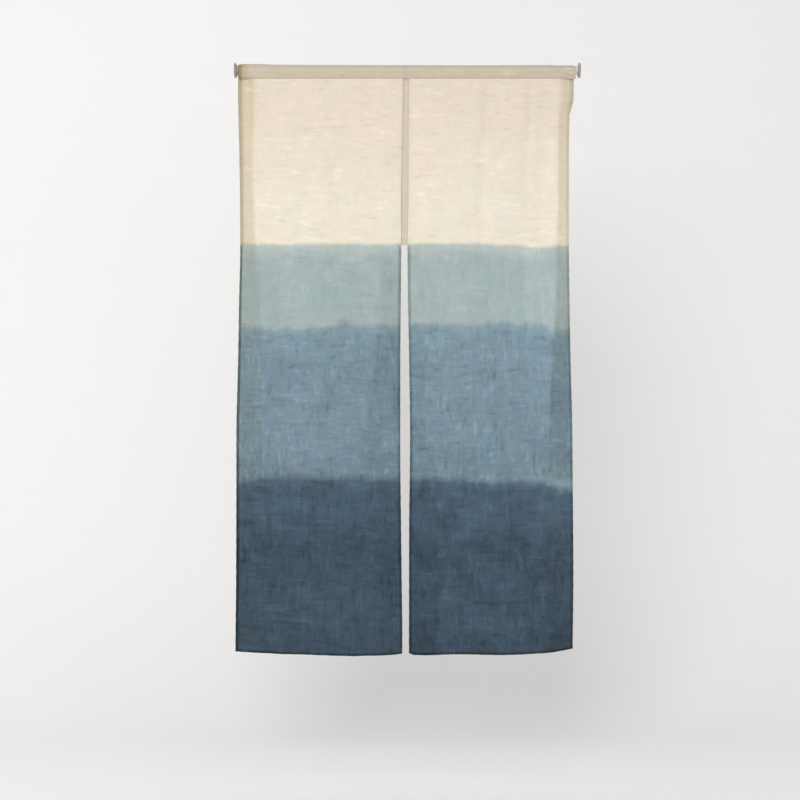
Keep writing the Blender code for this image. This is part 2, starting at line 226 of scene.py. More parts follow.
HEM = "across drop"
LEFT_HEM = table(
    HEM,
    (0.00, 1.4746),
    (0.05, 1.4772),
    (0.16, 1.4791),
    (0.37, 1.4787),
    (0.61, 1.4751),
    (0.85, 1.4723),
    (1.00, 1.4690),
)
RIGHT_HEM = table(
    HEM,
    (0.00, 1.4735),
    (0.03, 1.4783),
    (0.10, 1.4784),
    (0.25, 1.4761),
    (0.50, 1.4751),
    (0.68, 1.4752),
    (0.80, 1.4733),
    (0.92, 1.4690),
    (1.00, 1.4645),
)

FOLD = "across spread top middle bottom"
LEFT_FOLDS = table(
    FOLD,
    (0.27, 0.030, -0.0010, 0.0020, 0.0050),
    (0.50, 0.045, 0.0010, 0.0045, -0.0020),
    (0.74, 0.035, -0.0010, -0.0020, 0.0055),
)
RIGHT_FOLDS = table(
    FOLD,
    (0.30, 0.040, 0.0008, 0.0040, -0.0020),
    (0.45, 0.013, -0.0030, -0.0005, 0.0000),
    (0.56, 0.050, 0.0015, -0.0010, 0.0060),
    (0.72, 0.012, -0.0028, -0.0005, 0.0000),
    (0.80, 0.040, 0.0012, 0.0035, -0.0015),
)

# How far down the cloth each dip reached, across a panel from the slit (0) to the outer side (1)
DIP_LINE = "across first second third"
LEFT_DIPS = table(
    DIP_LINE,
    (0.00, 0.4382, 0.6435, 1.0320),
    (0.18, 0.4395, 0.6430, 1.0312),
    (0.27, 0.4395, 0.6460, 1.0300),
    (0.33, 0.4395, 0.6400, 1.0292),
    (0.50, 0.4396, 0.6490, 1.0270),
    (0.62, 0.4400, 0.6560, 1.0277),
    (0.70, 0.4401, 0.6480, 1.0270),
    (0.85, 0.4390, 0.6465, 1.0290),
    (0.92, 0.4365, 0.6440, 1.0338),
    (1.00, 0.4350, 0.6420, 1.0370),
)
RIGHT_DIPS = table(
    DIP_LINE,
    (0.00, 0.4374, 0.6400, 1.0314),
    (0.22, 0.4377, 0.6383, 1.0307),
    (0.36, 0.4382, 0.6440, 1.0320),
    (0.51, 0.4398, 0.6376, 1.0395),
    (0.59, 0.4412, 0.6365, 1.0362),
    (0.66, 0.4417, 0.6425, 1.0364),
    (0.73, 0.4455, 0.6360, 1.0368),
    (0.81, 0.4486, 0.6424, 1.0408),
    (0.88, 0.4443, 0.6570, 1.0530),
    (1.00, 0.4405, 0.6490, 1.0625),
)

# Soft patches, as a share of its colour: partly uneven dye, and partly painted shade and light where folds,
# the margins and the top corners take the lamps' light differently
PATCH = "across_from across_to drop_from drop_to amount"
LEFT_DYE_AND_SHADE_PATCHES = table(
    PATCH,
    (0.30, 0.60, 1.20, 1.42, 0.040),
    (0.875, 0.925, 0.00, 0.15, -0.045),
)
RIGHT_DYE_AND_SHADE_PATCHES = table(
    PATCH,
    (0.81, 0.90, 0.17, 0.44, 0.040),
    (0.70, 0.895, 0.45, 0.62, 0.080),
    (0.70, 0.86, 0.62, 0.84, 0.085),
    (0.70, 0.87, 0.84, 1.03, 0.030),
    (0.70, 0.87, 1.22, 1.48, -0.060),
    (0.435, 0.465, 0.03, 0.17, -0.050),
    (0.705, 0.735, 0.03, 0.15, -0.050),
    (0.930, 1.050, -0.05, 0.10, -0.125),
)
PATCH_EDGE = 0.035

# How much lighter or darker each panel is down its length: in the dyed bands where a dip took more or less,
# and over the undyed top painted light that grows brighter towards the first dye line
DIP_AND_LIGHT_TONES = table(
    "drop left right",
    (0.02, -0.035, -0.035),
    (0.12, -0.015, -0.010),
    (0.24, 0.002, 0.018),
    (0.33, 0.028, 0.036),
    (0.43, 0.032, 0.040),
    (0.47, -0.015, 0.010),
    (0.62, -0.025, 0.012),
    (0.67, 0.045, 0.080),
    (0.76, -0.012, 0.025),
    (0.94, -0.020, -0.035),
    (1.02, -0.130, -0.085),
    (1.05, 0.100, 0.160),
    (1.10, 0.065, 0.140),
    (1.15, 0.020, 0.080),
    (1.22, -0.170, -0.070),
    (1.30, -0.120, -0.030),
    (1.38, -0.090, -0.040),
    (1.45, -0.160, -0.160),
    (1.48, -0.170, -0.170),
)

# Painted shade on the turned-back side at each crease, outer and inner, down the cloth, as a share of its
# colour, and painted shade in the groove on the outer crease itself
SHADE = "drop outer inner crease"
LEFT_SHADES = table(
    SHADE,
    (0.02, -0.15, 0.00, 0.00),
    (0.20, -0.16, 0.00, 0.00),
    (0.42, -0.18, 0.00, 0.00),
    (0.47, -0.14, -0.06, 0.00),
    (0.62, -0.14, -0.07, 0.00),
    (0.67, -0.09, -0.11, 0.00),
    (0.85, -0.09, -0.10, 0.00),
    (1.02, -0.08, -0.05, 0.00),
    (1.08, -0.02, -0.04, 0.00),
    (1.48, -0.03, -0.03, 0.00),
)
RIGHT_SHADES = table(
    SHADE,
    (0.02, -0.02, 0.00, 0.00),
    (0.42, -0.03, 0.00, 0.00),
    (0.47, -0.03, -0.01, 0.00),
    (0.62, -0.05, -0.02, 0.00),
    (0.67, -0.13, -0.06, -0.02),
    (0.78, -0.11, -0.06, -0.04),
    (0.88, -0.10, -0.08, -0.14),
    (1.00, -0.06, -0.10, -0.10),
    (1.06, 0.07, -0.13, 0.00),
    (1.18, 0.02, -0.14, 0.00),
    (1.30, -0.10, -0.16, 0.00),
    (1.48, -0.16, -0.16, 0.00),
)
# How softly the painted shade begins at each crease, and how wide the painted shade in the outer crease's
# groove is.
SHADE_EDGE = 0.013
CREASE_GROOVE_WIDTH = 0.004
# How softly the painted warm reflected light on the outer margin begins.
WARMTH_EDGE = 0.03
# The painted shade along the hems' folded edges, as widths and shares of the colour, and on the left a
# painted shadow fading inwards from the side.
BOTTOM_LINE = 0.0058
UNDYED_LINE = -0.16
DYED_LINE = -0.45
SLIT_LINE = 0.0066
SLIT_UNDYED = -0.03
SLIT_DYED = -0.33
SIDE_UNDYED_LINE = 0.0100
SIDE_DYED_LINE = 0.0074
LEFT_SIDE_SHARES = (-0.15, -0.50)
RIGHT_SIDE_SHARES = (-0.15, -0.26)
SIDE_FADE = -0.13
SIDE_FADE_REACH = 0.005
# The painted warm reflected light is stronger on the left panel, and weaker on the dyed cloth.
LEFT_WARMTH = 1.7
DYED_WARMTH = 0.5
LINE_EDGE = 0.002

RIPPLE = 0.0005
PUCKER = 0.0004
SIDE_PUCKER_PITCH = 0.023
FOOT_PUCKER_PITCH = 0.027
SIDE_PUCKER_REACH = 0.012
FOOT_PUCKER_REACH = 0.014
EDGE_WAVE = 0.00022
EDGE_WAVE_PITCH = 0.031
EDGE_WAVE_REACH = 0.006
SEAM_GROOVE = 0.0003
SIDE_GROOVE_WIDTH = 0.0010
FOOT_GROOVE_WIDTH = 0.0012
STILL_TOP = 0.06
DYED_WITHIN = 0.01
EDGE_BULGE = 0.35
BODY_ROWS = 330
HEM_ROWS = (0.0010, 0.0025, 0.0050, 0.0080, 0.0110, 0.0130, 0.0145, 0.0150)
HEM_COLUMNS = (0.0, 0.0008, 0.0022, 0.0042, 0.0064, SEAM_INSET, SIDE_HEM, SIDE_HEM + HEM_STEP)
MARGIN_COLUMNS = 12
MIDDLE_COLUMNS = 68


def smooth(share):
    """0 to 1 with a gentle start and end."""
    share = np.clip(share, 0.0, 1.0)
    return share * share * (3 - 2 * share)


def curved(rows, place, column):
    """A table's column at any places along it, on a smooth curve that never overshoots its rows."""
    places = np.array([row[0] for row in rows])
    values = np.array([getattr(row, column) for row in rows], float)
    rises = np.diff(values) / np.diff(places)
    before, after = rises[:-1], rises[1:]
    same_way = before * after > 0
    both = np.where(same_way, before + after, 1.0)
    inside = np.where(same_way, 2 * before * after / both, 0.0)
    slopes = np.concatenate((rises[:1], inside, rises[-1:]))
    place = np.clip(place, places[0], places[-1])
    low = np.clip(np.searchsorted(places, place, side="right") - 1, 0, len(places) - 2)
    width = places[low + 1] - places[low]
    t = (place - places[low]) / width
    return (
        (2 * t**3 - 3 * t**2 + 1) * values[low]
        + (t**3 - 2 * t**2 + t) * width * slopes[low]
        + (3 * t**2 - 2 * t**3) * values[low + 1]
        + (t**3 - t**2) * width * slopes[low + 1]
    )


def fold_height(fold, drop):
    """How far a fold stands forward at a drop, easing from its top to its middle and on to its bottom."""
    upper = smooth((drop - FOLD_STARTS) / (FOLD_MIDDLE - FOLD_STARTS))
    lower = smooth((drop - FOLD_MIDDLE) / (FOLD_ENDS - FOLD_MIDDLE))
    above = fold.top + upper * (fold.middle - fold.top)
    return np.where(drop < FOLD_MIDDLE, above, fold.middle + lower * (fold.bottom - fold.middle))


def hang(sections, folds, place, drop):
    """Offset from the rod's middle, and depth, of the cloth at a place across its cut width. What the outline
    lacks of the cut width is taken up by the outer margin, which turns back by just so much."""
    outer, inner = curved(sections, drop, "outer"), curved(sections, drop, "inner")
    margin, inner_margin = curved(sections, drop, "margin"), curved(sections, drop, "inner_margin")
    inner_turn = np.radians(curved(sections, drop, "inner_turn"))
    shortage = CUT_WIDTH - (outer - inner) - inner_margin * (1 - np.cos(inner_turn))
    turn = np.arccos(1 - (shortage + np.hypot(shortage, EASE)) / 2 / margin)
    start = inner + inner_margin * np.cos(inner_turn)
    end = outer - margin * np.cos(turn)
    by_slit, by_side = inner_margin - place, place - (CUT_WIDTH - margin)
    share = -by_slit / (CUT_WIDTH - margin - inner_margin)
    depth = -CROWN * smooth((drop - sections[0].drop) / CROWN_FULL_AT) * np.sin(math.pi * share) ** 2
    fade = smooth(4 * share) * smooth(4 * (1 - share)) * smooth((drop - sections[0].drop) / FOLD_FREE)
    for fold in folds:
        away = (place - fold.across * CUT_WIDTH) / fold.spread
        depth = depth - fade * fold_height(fold, drop) * np.exp(-away * away)
    offset = start + share * (end - start)
    offset = np.where(by_slit > 0, start - by_slit * np.cos(inner_turn), offset)
    offset = np.where(by_side > 0, end + by_side * np.cos(turn), offset)
    depth = np.where(by_slit > 0, by_slit * np.sin(inner_turn), depth)
    depth = np.where(by_side > 0, by_side * np.sin(turn), depth)
    return offset, depth


def soft_hang(sections, folds, place, drop):
    """The same with each crease rounded over a few millimetres, as cloth rounds it."""
    offset, depth = 0.0, 0.0
    for shift, share in ((-1.0, 0.25), (0.0, 0.5), (1.0, 0.25)):
        part = hang(sections, folds, place + shift * CREASE_SOFTNESS, drop)
        offset, depth = offset + share * part[0], depth + share * part[1]
    return offset, depth


def panel_places(sections, drop):
    """Places across the cut width for every row: close together in the hems, and with a column on each crease
    wherever it runs."""
    margin, inner_margin = curved(sections, drop, "margin"), curved(sections, drop, "inner_margin")
    ones = np.ones_like(drop)
    hem_end = HEM_COLUMNS[-1]
    columns = [ones * place for place in HEM_COLUMNS]
    for step in range(1, MARGIN_COLUMNS + 1):
        columns.append(hem_end + (inner_margin - hem_end) * step / MARGIN_COLUMNS)
    middle = CUT_WIDTH - margin - inner_margin
    for step in range(1, MIDDLE_COLUMNS + 1):
        columns.append(inner_margin + middle * step / MIDDLE_COLUMNS)
    for step in range(1, MARGIN_COLUMNS):
        columns.append(CUT_WIDTH - margin + (margin - hem_end) * step / MARGIN_COLUMNS)
    columns += [ones * (CUT_WIDTH - place) for place in reversed(HEM_COLUMNS)]
    return np.concatenate(columns, axis=1)


# The patches' tone: partly uneven dye, partly painted shade and light.
def dye_and_shade_patches(patches, across, drop):
    tone = np.zeros_like(across)
    for patch in patches:
        inside = 1.0
        for past in (
            across - patch.across_from,
            patch.across_to - across,
            drop - patch.drop_from,
            patch.drop_to - drop,
        ):
            inside = inside * smooth(past / PATCH_EDGE + 0.5)
        tone = tone + patch.amount * inside
    return tone


def grid_normals(points):
    """Unit normals of a grid of points, towards the front."""
    down = np.gradient(points, axis=0)
    along = np.gradient(points, axis=1)
    normal = np.cross(down, along)
    normal /= np.linalg.norm(normal, axis=2, keepdims=True)
    return normal * -np.sign(normal[..., 1:2].mean())


def cloth_piece(name, points, faces, facts):
    """A mesh of cloth. facts are values kept at its points for the cloth's finish."""
    piece = shaped(name, points.tolist(), faces.tolist())
    for fact, values in facts.items():
        kind, field = ("FLOAT", "value") if values.shape[1] == 1 else ("FLOAT_VECTOR", "vector")
        kept = piece.data.attributes.new(fact, kind, "POINT")
        kept.data.foreach_set(field, values.ravel().astype(np.float32))
    return piece


def cloth_sheet(name, front, thickness, facts):
    """A closed sheet: its front grid, a back grid behind it, and a rounded edge between them."""
    rows, columns = front.shape[:2]
    count = rows * columns
    normals = grid_normals(front)
    back = front - normals * thickness[..., None]
    rim = [(0, c) for c in range(columns)] + [(r, columns - 1) for r in range(1, rows)]
    rim += [(rows - 1, c) for c in range(columns - 2, -1, -1)] + [(r, 0) for r in range(rows - 2, 0, -1)]
    rim_rows, rim_columns = np.array(rim).T
    near, far = front[rim_rows, rim_columns], back[rim_rows, rim_columns]
    outward = near - front[np.clip(rim_rows, 1, rows - 2), np.clip(rim_columns, 1, columns - 2)]
    outward /= np.linalg.norm(outward, axis=1, keepdims=True)
    bulge = (near + far) / 2 + outward * thickness[rim_rows, rim_columns][:, None] * EDGE_BULGE
    points = np.concatenate((front.reshape(-1, 3), back.reshape(-1, 3), bulge))

    index = np.arange(count).reshape(rows, columns)
    quads = np.stack((index[:-1, :-1], index[1:, :-1], index[1:, 1:], index[:-1, 1:]), axis=-1)
    quads = quads.reshape(-1, 4)
    edge = rim_rows * columns + rim_columns
    outermost = 2 * count + np.arange(len(rim))
    next_edge, next_outermost = np.roll(edge, -1), np.roll(outermost, -1)
    front_edge = np.stack((edge, next_edge, next_outermost, outermost), axis=-1)
    back_edge = np.stack((outermost, next_outermost, count + next_edge, count + edge), axis=-1)
    faces = np.concatenate((quads, count + quads[:, ::-1], front_edge, back_edge))
    row, column = rows // 2, columns // 2
    down, along = front[row + 1, column] - front[row, column], front[row, column + 1] - front[row, column]
    if normals[row, column] @ np.cross(down, along) < 0:
        faces = faces[:, ::-1]

    whole = {}
    for fact, values in facts.items():
        flat = values.reshape(count, -1)
        whole[fact] = np.concatenate((flat, flat, flat[edge]))
    return cloth_piece(name, points, faces, whole), normals


def margin_shade(sections, shades, place, drop):
    """The painted shade of both turned-back sides, each from its crease to its edge, and how far a point is
    inside the outer one, where a painted warm reflected light tints the cloth."""
    margin, inner_margin = curved(sections, drop, "margin"), curved(sections, drop, "inner_margin")
    past_crease = place - CUT_WIDTH + margin
    outside = smooth(past_crease / SHADE_EDGE + 0.5)
    inside = smooth((inner_margin - place) / SHADE_EDGE + 0.5)
    tone = outside * curved(shades, drop, "outer") + inside * curved(shades, drop, "inner")
    groove = curved(shades, drop, "crease") * np.exp(-((past_crease / CREASE_GROOVE_WIDTH) ** 2))
    return tone + groove, smooth(past_crease / WARMTH_EDGE + 0.5)


def hem_edge_shade(side, place, to_bottom, dyed):
    """The painted shade along the folded edge of a hem: narrow along the bottom, wider at the slit and the
    outer side, and on the left side a painted shadow fading inwards over the undyed cloth."""
    bottom = smooth((BOTTOM_LINE - to_bottom) / LINE_EDGE + 0.5)
    bottom = bottom * (UNDYED_LINE + (DYED_LINE - UNDYED_LINE) * dyed)
    slit = smooth((SLIT_LINE - place) / LINE_EDGE + 0.5)
    slit = slit * (SLIT_UNDYED + (SLIT_DYED - SLIT_UNDYED) * dyed)
    from_side = CUT_WIDTH - place
    undyed_share, dyed_share = LEFT_SIDE_SHARES if side < 0 else RIGHT_SIDE_SHARES
    width = SIDE_UNDYED_LINE + (SIDE_DYED_LINE - SIDE_UNDYED_LINE) * dyed
    outer = smooth((width - from_side) / LINE_EDGE + 0.5)
    outer = outer * (undyed_share + (dyed_share - undyed_share) * dyed)
    if side < 0:
        fade = np.exp(-np.maximum(from_side - width, 0.0) / SIDE_FADE_REACH)
        outer = outer + SIDE_FADE * (1 - dyed) * fade
    return np.minimum(np.minimum(bottom, slit), outer)


def fine_relief(side, place, fall, to_side, to_bottom, free):
    """Ripples under a millimetre, the pucker that sewing leaves along the hems, and each seam's groove."""
    ripple = np.sin(62 * place + 9 * fall + side) * np.sin(31 * fall + 17 * place)
    ripple = ripple + 0.6 * np.sin(131 * place - 23 * fall + 2 * side) * np.sin(47 * fall + 1.3)
    by_side = np.sin(2 * math.pi * fall / SIDE_PUCKER_PITCH + 1.7 * np.sin(11 * fall) + side)
    by_side = by_side * np.exp(-to_side / SIDE_PUCKER_REACH)
    by_foot = np.sin(2 * math.pi * place / FOOT_PUCKER_PITCH + 1.3 * np.sin(19 * place + side))
    by_foot = by_foot * np.exp(-to_bottom / FOOT_PUCKER_REACH)
    groove = np.exp(-(((to_side - SEAM_INSET) / SIDE_GROOVE_WIDTH) ** 2))
    groove = np.maximum(groove, np.exp(-(((to_bottom - BOTTOM_SEAM_INSET) / FOOT_GROOVE_WIDTH) ** 2)))
    return free * (RIPPLE * ripple + PUCKER * by_side + SEAM_GROOVE * groove) + PUCKER * by_foot


def make_panel(name, side, sections, hem, folds, dips, patches, shades):
    top = sections[0].drop
    shares = np.linspace(0.0, 1.0, BODY_ROWS)
    nominal_top = top - PANEL_TUCK
    body_end = sections[-1].drop - BOTTOM_HEM - HEM_STEP
    share = np.concatenate((shares, np.ones(len(HEM_ROWS))))[:, None]
    below = np.concatenate((np.zeros(BODY_ROWS), HEM_ROWS))[:, None]
    drop = nominal_top + share * (body_end - nominal_top) + below
    place = panel_places(sections, drop)
    offset, depth = soft_hang(sections, folds, place, drop)
    edge_drop = curved(hem, place / CUT_WIDTH, "drop") - BOTTOM_HEM - HEM_STEP
    fall = nominal_top + share * (edge_drop - nominal_top) + below

    to_side = np.minimum(place, CUT_WIDTH - place)
    to_bottom = HEM_ROWS[-1] - below + (1 - share) * (body_end - nominal_top)
    free = smooth((drop - top) / STILL_TOP)
    depth = depth + fine_relief(side, place, fall, to_side, to_bottom, free)
    wave = np.sin(2 * math.pi * fall / EDGE_WAVE_PITCH + side) * np.exp(-to_side / EDGE_WAVE_REACH)
    offset = offset + EDGE_WAVE * wave

    front = np.stack((MIDDLE + side * offset, depth, -fall), axis=-1)
    hemmed = smooth((SIDE_HEM + HEM_STEP - to_side) / HEM_STEP)
    hemmed = np.maximum(hemmed, smooth((BOTTOM_HEM + HEM_STEP - to_bottom) / HEM_STEP))
    thickness = PANEL_CLOTH + (PANEL_HEM_CLOTH - PANEL_CLOTH) * hemmed * free

    across = place / CUT_WIDTH
    depths = [fall - curved(dips, across, line) for line in ("first", "second", "third")]
    dyed = smooth(depths[0] / DYED_WITHIN)
    # The tone kept at the points is mostly painted shade and light, with the patches' and dips' uneven dye;
    # warmth is a painted warm reflected light on the outer margin.
    tone, reflected_warmth = margin_shade(sections, shades, place, drop)
    tone = tone + dye_and_shade_patches(patches, across, fall)
    tone = tone + curved(DIP_AND_LIGHT_TONES, fall, "left" if side < 0 else "right")
    tone = tone + hem_edge_shade(side, place, to_bottom, dyed)
    reflected_warmth = reflected_warmth * (1 - DYED_WARMTH * dyed) * (LEFT_WARMTH if side < 0 else 1.0)
    facts = {
        "cloth": np.stack((place + (side + 1) * 0.5, fall, np.zeros_like(fall)), axis=-1),
        "dips": np.stack(depths, axis=-1),
        "tone": tone,
        "reflected_warmth": reflected_warmth,
    }
    piece, normals = cloth_sheet(name, front, thickness, facts)
    return piece, front, normals, thickness, facts


class Value:
    """A value that varies over a surface. What is worked out from it becomes Math nodes."""

    def __init__(self, tree, output):
        self.tree = tree
        self.output = output

    def worked(self, operation, *others):
        node = self.tree.nodes.new("ShaderNodeMath")
        node.operation = operation
        for socket, value in zip(node.inputs, (self, *others)):
            put(self.tree, socket, value)
        return Value(self.tree, node.outputs[0])

    def __add__(self, other):
        return self.worked("ADD", other)

    def __sub__(self, other):
        return self.worked("SUBTRACT", other)

    def __mul__(self, other):
        return self.worked("MULTIPLY", other)

    def between(self, least, most):
        return self.worked("MAXIMUM", least).worked("MINIMUM", most)


def vector_worked(tree, operation, *values):
    node = tree.nodes.new("ShaderNodeVectorMath")
    node.operation = operation
    for socket, value in zip(node.inputs, values):
        put(tree, socket, value)
    return node.outputs["Vector"]


def scaled(tree, vector, amount):
    """A colour or vector made larger or smaller by a value."""
    node = tree.nodes.new("ShaderNodeVectorMath")
    node.operation = "SCALE"
    put(tree, node.inputs["Vector"], vector)
    put(tree, node.inputs["Scale"], amount)
    return node.outputs["Vector"]


def tinted(tree, colour, red, blue):
    """A colour with more or less red and blue in it."""
    shares = tree.nodes.new("ShaderNodeCombineXYZ")
    for socket, value in zip(shares.inputs, (red, 1.0, blue)):
        put(tree, socket, value)
    return vector_worked(tree, "MULTIPLY", colour, shares.outputs[0])


def mixed(tree, share, start, end):
    """One colour turned into another by a share."""
    node = tree.nodes.new("ShaderNodeMix")
    node.data_type = "RGBA"
    for name, value in (("Factor", share), ("A", start), ("B", end)):
        put(tree, node.inputs[name], value)
    return node.outputs["Result"]


def parted(tree, vector):
    """The three values in a vector."""
    node = tree.nodes.new("ShaderNodeSeparateXYZ")
    put(tree, node.inputs[0], vector)
    return [Value(tree, output) for output in node.outputs]


def relief(tree, height, strength, depth):
    """The normal of a surface with fine relief."""
    bump = tree.nodes.new("ShaderNodeBump")
    bump.inputs["Strength"].default_value = strength
    bump.inputs["Distance"].default_value = depth
    put(tree, bump.inputs["Height"], height)
    return bump.outputs["Normal"]


NOISE_GAIN = 3.2


def blotches(tree, cloth, per_metre, shift, detail=2.0, roughness=0.55):
    """Soft noise from about -1 to 1. per_metre is how close its marks lie across and down the cloth, so that
    unequal values draw it out along one run of threads."""
    spread = vector_worked(tree, "MULTIPLY", cloth, (*per_metre, 1.0))
    noise = tree.nodes.new("ShaderNodeTexNoise")
    noise.inputs["Scale"].default_value = 1.0
    noise.inputs["Detail"].default_value = detail
    noise.inputs["Roughness"].default_value = roughness
    moved = vector_worked(tree, "ADD", spread, (shift, 2.7 * shift, 1.3 * shift))
    put(tree, noise.inputs["Vector"], moved)
    return (Value(tree, noise.outputs["Fac"]) - 0.5) * NOISE_GAIN


def sparse(value, least):
    """Only what stands out of a noise by more than the least amount, so that its marks lie apart."""
    return value - value.between(-least, least)


def new_group(name, inputs, outputs):
    """An empty node group with named sockets, with its input and output nodes."""
    group = bpy.data.node_groups.new(name, "ShaderNodeTree")
    for sockets, way in ((inputs, "INPUT"), (outputs, "OUTPUT")):
        for socket, kind in sockets.items():
            group.interface.new_socket(socket, in_out=way, socket_type="NodeSocket" + kind)
    return group, group.nodes.new("NodeGroupInput").outputs, group.nodes.new("NodeGroupOutput").inputs


def use_group(tree, group, **inputs):
    """A node group placed in a material, with its inputs."""
    node = tree.nodes.new("ShaderNodeGroup")
    node.node_tree = group
    for name, value in inputs.items():
        put(tree, node.inputs[name], value)
    return node


# The yarns of the weave, weft and warp: how close the slubs and the grain lie, and how far they show
YARNS = table(
    "slubs slub_shift most lean grain grain_shift grain_share",
    ((27.0, 96.0), 1.0, 0.95, 0.8, (56.0, 380.0), 2.0, 0.45),
    ((94.0, 24.0), 3.0, 0.75, -0.8, (380.0, 50.0), 4.0, 0.42),
)
SLUB_LEAST = 0.26
SLUB_GAIN = 3.2
THREAD_PITCH = 0.0013


def build_slub_weave():
    """Plain weave of uneven yarn. Thick and thin places lie apart along both sets of threads, in some parts
    of the cloth more along the one and in some more along the other, over an even finer grain."""
    tree, given, made = new_group(
        "slub_weave",
        {"Cloth": "Vector", "Weft": "Float", "Warp": "Float"},
        {"Tone": "Float", "Height": "Float"},
    )
    cloth = given["Cloth"]
    region = blotches(tree, cloth, (14.0, 16.0), 11.0, detail=1.0)
    runs = []
    for yarn in YARNS:
        here = (region * yarn.lean + 0.5).between(0.0, 1.0)
        slubs = sparse(blotches(tree, cloth, yarn.slubs, yarn.slub_shift), SLUB_LEAST) * here * SLUB_GAIN
        grain = blotches(tree, cloth, yarn.grain, yarn.grain_shift) * yarn.grain_share
        runs.append(slubs.between(-yarn.most, yarn.most) + grain)
    weft, warp = runs
    x, y, _ = parted(tree, cloth)
    over, under = [(way * (2 * math.pi / THREAD_PITCH)).worked("SINE") for way in (x, y)]
    put(tree, made["Tone"], weft * given["Weft"] + warp * given["Warp"])
    put(tree, made["Height"], over * under * 0.25 + (weft + warp) * 0.16)
    return tree


# Each dip's line: how far it creeps up single threads and wanders, how soft it is, and its long faint tail.
# Then what the dip adds to the clouds, to the redder and bluer places, and to how plainly each yarn shows
DIPS = table(
    "dye creep wander softness tail tail_share clouds red blue weft warp",
    ("First", 0.0022, 0.0008, 0.0100, 0.042, 0.28, 0.55, 0.024, 0.0, 0.0, 0.054),
    ("Second", 0.0050, 0.0040, 0.0150, 0.032, 0.34, 0.60, 0.024, 0.053, 0.095, 0.175),
    ("Third", 0.0036, 0.0026, 0.0200, 0.030, 0.16, 1.25, 0.028, -0.076, 0.0, 0.010),
)
UNDYED_CLOUDS = 0.30
UNDYED_RED = 0.044
UNDYED_BLUE = 0.045
UNDYED_WEFT = 0.092
UNDYED_WARP = 0.030
TAIL_WANDER = 0.35
CLOUDS = 0.085
HATCH = 0.150
CROSS_HATCH = 0.140
HATCH_LEAST = 0.2


def with_dips(undyed, masks, column):
    """A value of the undyed cloth and what each dip adds to it, where the dip has reached."""
    first, second, third = [mask * getattr(dip, column) for mask, dip in zip(masks, DIPS)]
    return first + second + third + undyed


def build_dip_dye():
    """Three dips, one over the other. Each line creeps up single warp threads, and the dyed cloth is a little
    cloudy and shifts between a greener and a redder blue."""
    tree, given, made = new_group(
        "dip_dye",
        {"Cloth": "Vector", "Dips": "Vector", "Undyed": "Color"} | {dip.dye: "Color" for dip in DIPS},
        {"Color": "Color", "Dyed": "Float", "Deep": "Float", "Deepest": "Float"},
    )
    cloth = given["Cloth"]
    finger = blotches(tree, cloth, (38.0, 10.0), 5.0)
    cloud = blotches(tree, cloth, (18.0, 20.0), 6.0, detail=3.0)
    colour = given["Undyed"]
    masks = []
    for dip, depth in zip(DIPS, parted(tree, given["Dips"])):
        reach = finger * dip.creep + cloud * dip.wander + depth
        edge = (reach * (1.0 / dip.softness) + 0.5).between(0.0, 1.0)
        slow = ((cloud * (TAIL_WANDER * dip.tail) + reach) * (1.0 / dip.tail)).between(0.0, 1.0)
        masks.append(edge * (1.0 - dip.tail_share) + slow * dip.tail_share)
        colour = mixed(tree, masks[-1], colour, given[dip.dye])
    clouds = blotches(tree, cloth, (17.0, 14.0), 7.0, detail=4.0, roughness=0.6)
    hatch = sparse(blotches(tree, cloth, (64.0, 16.0), 8.0, detail=3.0), HATCH_LEAST)
    cross_hatch = sparse(blotches(tree, cloth, (16.0, 70.0), 9.0, detail=3.0), HATCH_LEAST)
    mottle = clouds * CLOUDS + hatch * HATCH + cross_hatch * CROSS_HATCH
    redder = blotches(tree, cloth, (13.0, 15.0), 10.0, detail=4.0, roughness=0.68)
    redder = redder * with_dips(UNDYED_RED, masks, "red")
    bluer = blotches(tree, cloth, (20.0, 22.0), 12.0, detail=4.0, roughness=0.65)
    bluer = bluer * with_dips(UNDYED_BLUE, masks, "blue")
    colour = tinted(tree, colour, redder + 1.0, bluer + 1.0)
    mottle = mottle * with_dips(UNDYED_CLOUDS, masks, "clouds")
    put(tree, made["Color"], scaled(tree, colour, mottle + 1.0))
    for name, mask in zip(("Dyed", "Deep", "Deepest"), masks):
        put(tree, made[name], mask)
    return tree


WEAVE_STRENGTH = 0.6
WEAVE_DEPTH = 0.0005
# The tint that the painted warm reflected light gives to red and blue.
WARM_RED = 0.025
WARM_BLUE = -0.070


def recalled(tree, fact, output="Fac"):
    """A value kept at the cloth's points."""
    node = tree.nodes.new("ShaderNodeAttribute")
    node.attribute_name = fact
    return Value(tree, node.outputs[output])


def cloth_material(name, sheer):
    """A material with a matte surface and light that passes through the cloth, and the nodes it needs."""
    material, tree, surface = new_material(name)
    surface.inputs["Roughness"].default_value = 0.92
    surface.inputs["Specular IOR Level"].default_value = 0.18
    surface.inputs["Sheen Weight"].default_value = 0.08
    surface.inputs["Sheen Roughness"].default_value = 0.6
    glow = tree.nodes.new("ShaderNodeBsdfTranslucent")
    show_mixed(tree, sheer, surface, glow)
    return material, tree, surface, glow


